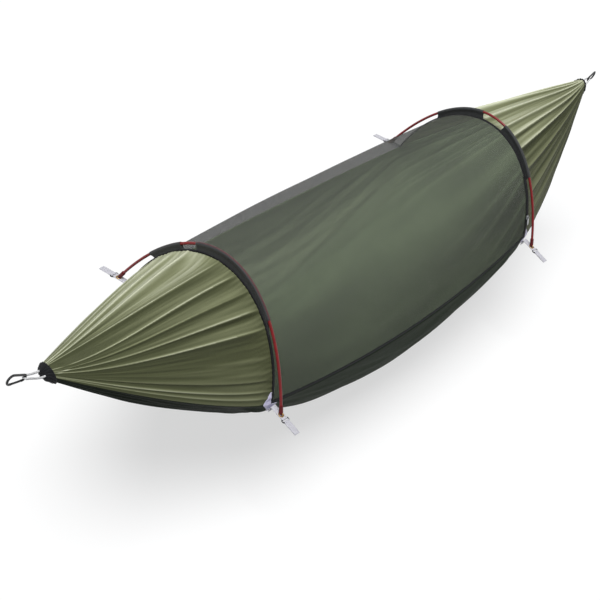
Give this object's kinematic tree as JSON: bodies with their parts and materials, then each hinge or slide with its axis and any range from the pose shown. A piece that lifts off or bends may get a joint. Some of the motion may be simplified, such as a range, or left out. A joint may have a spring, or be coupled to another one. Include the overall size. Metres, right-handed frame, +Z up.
{
  "type": "camping hammock with pop-up net",
  "caption": "Gathered-end camping hammock with a cloth bed, a net over the middle held by bent hoop poles, cloth end canopies and carabiners to hang it.",
  "frame": {"origin": "under the middle of the hammock, level with the bed's lowest point", "axes": "+X along the hammock towards the end with the zip's riser, -Y towards the zip side, +Z up"},
  "size_m": [2.857, 0.7344, 0.6654],
  "materials": {
    "bed_nylon": "matte woven nylon",
    "canopy_nylon": "slightly glossy woven nylon",
    "net_mesh": "fine knitted net",
    "black_tape": "woven tape",
    "red_pole": "anodised",
    "pole_metal": "satin",
    "white_webbing": "woven webbing",
    "brass": "satin",
    "black_metal": "satin black",
    "white_cord": "braided cord"
  },
  "bodies": {
    "hammock": {"bed": "bed_nylon", "binding_left": "black_tape", "binding_right": "black_tape", "canopy_left": "canopy_nylon", "canopy_right": "canopy_nylon", "cord_loop_left": "white_cord", "cord_loop_right": "white_cord", "end_hem_left": "black_tape", "end_hem_right": "black_tape", "grommet_back_left": "brass", "grommet_back_right": "brass", "grommet_front_left": "brass", "grommet_front_right": "brass", "mosquito_net": "net_mesh", "patch_back_left": "white_webbing", "patch_back_right": "white_webbing", "patch_front_left": "white_webbing", "patch_front_right": "white_webbing", "pole_left": "red_pole", "pole_right": "red_pole", "pole_tip_back_left": "pole_metal", "pole_tip_back_right": "pole_metal", "pole_tip_front_left": "pole_metal", "pole_tip_front_right": "pole_metal", "sleeve_left_back": "black_tape", "sleeve_left_front": "black_tape", "sleeve_right_back": "black_tape", "sleeve_right_front": "black_tape", "strap_back_left": "white_webbing", "strap_back_right": "white_webbing", "strap_front_left": "white_webbing", "strap_front_right": "white_webbing", "zip_riser": "black_tape", "zip_seam": "black_tape"},
    "slider": {"zip_slider": "black_metal"},
    "pull": {"zip_pull": "black_metal"},
    "ring_body_front_left": {"ring_front_left": "black_metal"},
    "tab_body_front_left": {"tab_front_left": "white_webbing"},
    "ring_body_back_left": {"ring_back_left": "black_metal"},
    "tab_body_back_left": {"tab_back_left": "white_webbing"},
    "ring_body_front_right": {"ring_front_right": "black_metal"},
    "tab_body_front_right": {"tab_front_right": "white_webbing"},
    "ring_body_back_right": {"ring_back_right": "black_metal"},
    "tab_body_back_right": {"tab_back_right": "white_webbing"},
    "carabiner_body_left": {"carabiner_left": "black_metal", "gate_pin_left": "pole_metal"},
    "gate_body_left": {"gate_left": "black_metal"},
    "carabiner_body_right": {"carabiner_right": "black_metal", "gate_pin_right": "pole_metal"},
    "gate_body_right": {"gate_right": "black_metal"}
  },
  "joints": [
    {"name": "ring_swing_front_left", "type": "hinge", "parent": "hammock", "child": "ring_body_front_left", "pos_m": [-0.667, -0.31636, 0.34618], "axis": [-1, 0, 0], "range_deg": [-80, 45]},
    {"name": "tab_swing_front_left", "type": "hinge", "parent": "ring_body_front_left", "child": "tab_body_front_left", "pos_m": [-0.667, -0.32418, 0.34452], "axis": [-1, 0, 0], "range_deg": [-80, 45]},
    {"name": "ring_swing_back_left", "type": "hinge", "parent": "hammock", "child": "ring_body_back_left", "pos_m": [-0.667, 0.31636, 0.34618], "axis": [1, 0, 0], "range_deg": [-80, 45]},
    {"name": "tab_swing_back_left", "type": "hinge", "parent": "ring_body_back_left", "child": "tab_body_back_left", "pos_m": [-0.667, 0.32418, 0.34452], "axis": [1, 0, 0], "range_deg": [-80, 45]},
    {"name": "ring_swing_front_right", "type": "hinge", "parent": "hammock", "child": "ring_body_front_right", "pos_m": [0.667, -0.31636, 0.34618], "axis": [-1, 0, 0], "range_deg": [-80, 45]},
    {"name": "tab_swing_front_right", "type": "hinge", "parent": "ring_body_front_right", "child": "tab_body_front_right", "pos_m": [0.667, -0.32418, 0.34452], "axis": [-1, 0, 0], "range_deg": [-80, 45]},
    {"name": "ring_swing_back_right", "type": "hinge", "parent": "hammock", "child": "ring_body_back_right", "pos_m": [0.667, 0.31636, 0.34618], "axis": [1, 0, 0], "range_deg": [-80, 45]},
    {"name": "tab_swing_back_right", "type": "hinge", "parent": "ring_body_back_right", "child": "tab_body_back_right", "pos_m": [0.667, 0.32418, 0.34452], "axis": [1, 0, 0], "range_deg": [-80, 45]},
    {"name": "carabiner_swing_left", "type": "hinge", "parent": "hammock", "child": "carabiner_body_left", "pos_m": [-1.37396, 0, 0.62291], "axis": [0, 1, 0], "range_deg": [-70, 60]},
    {"name": "gate_swing_left", "type": "hinge", "parent": "carabiner_body_left", "child": "gate_body_left", "pos_m": [-1.38275, 0, 0.61671], "axis": [0, 1, 0], "range_deg": [0, 25], "stiffness_Nm_per_rad": 0.02, "springref_deg": -22.92},
    {"name": "carabiner_swing_right", "type": "hinge", "parent": "hammock", "child": "carabiner_body_right", "pos_m": [1.37385, 0.00661, 0.6], "axis": [0.1045, -0.9945, 0], "range_deg": [-70, 60]},
    {"name": "gate_swing_right", "type": "hinge", "parent": "carabiner_body_right", "child": "gate_body_right", "pos_m": [1.37996, 0.00725, 0.59116], "axis": [0.1045, -0.9945, 0], "range_deg": [0, 25], "stiffness_Nm_per_rad": 0.02, "springref_deg": -22.92},
    {"name": "zip_travel", "type": "hinge", "parent": "hammock", "child": "slider", "pos_m": [0.6586, 0.14501, 0.27667], "axis": [-1, 0, 0], "range_deg": [-2.8, 9]},
    {"name": "pull_flip", "type": "hinge", "parent": "slider", "child": "pull", "pos_m": [0.6586, -0.24919, 0.43793], "axis": [-1, 0, 0], "range_deg": [0, 150]}
  ]
}
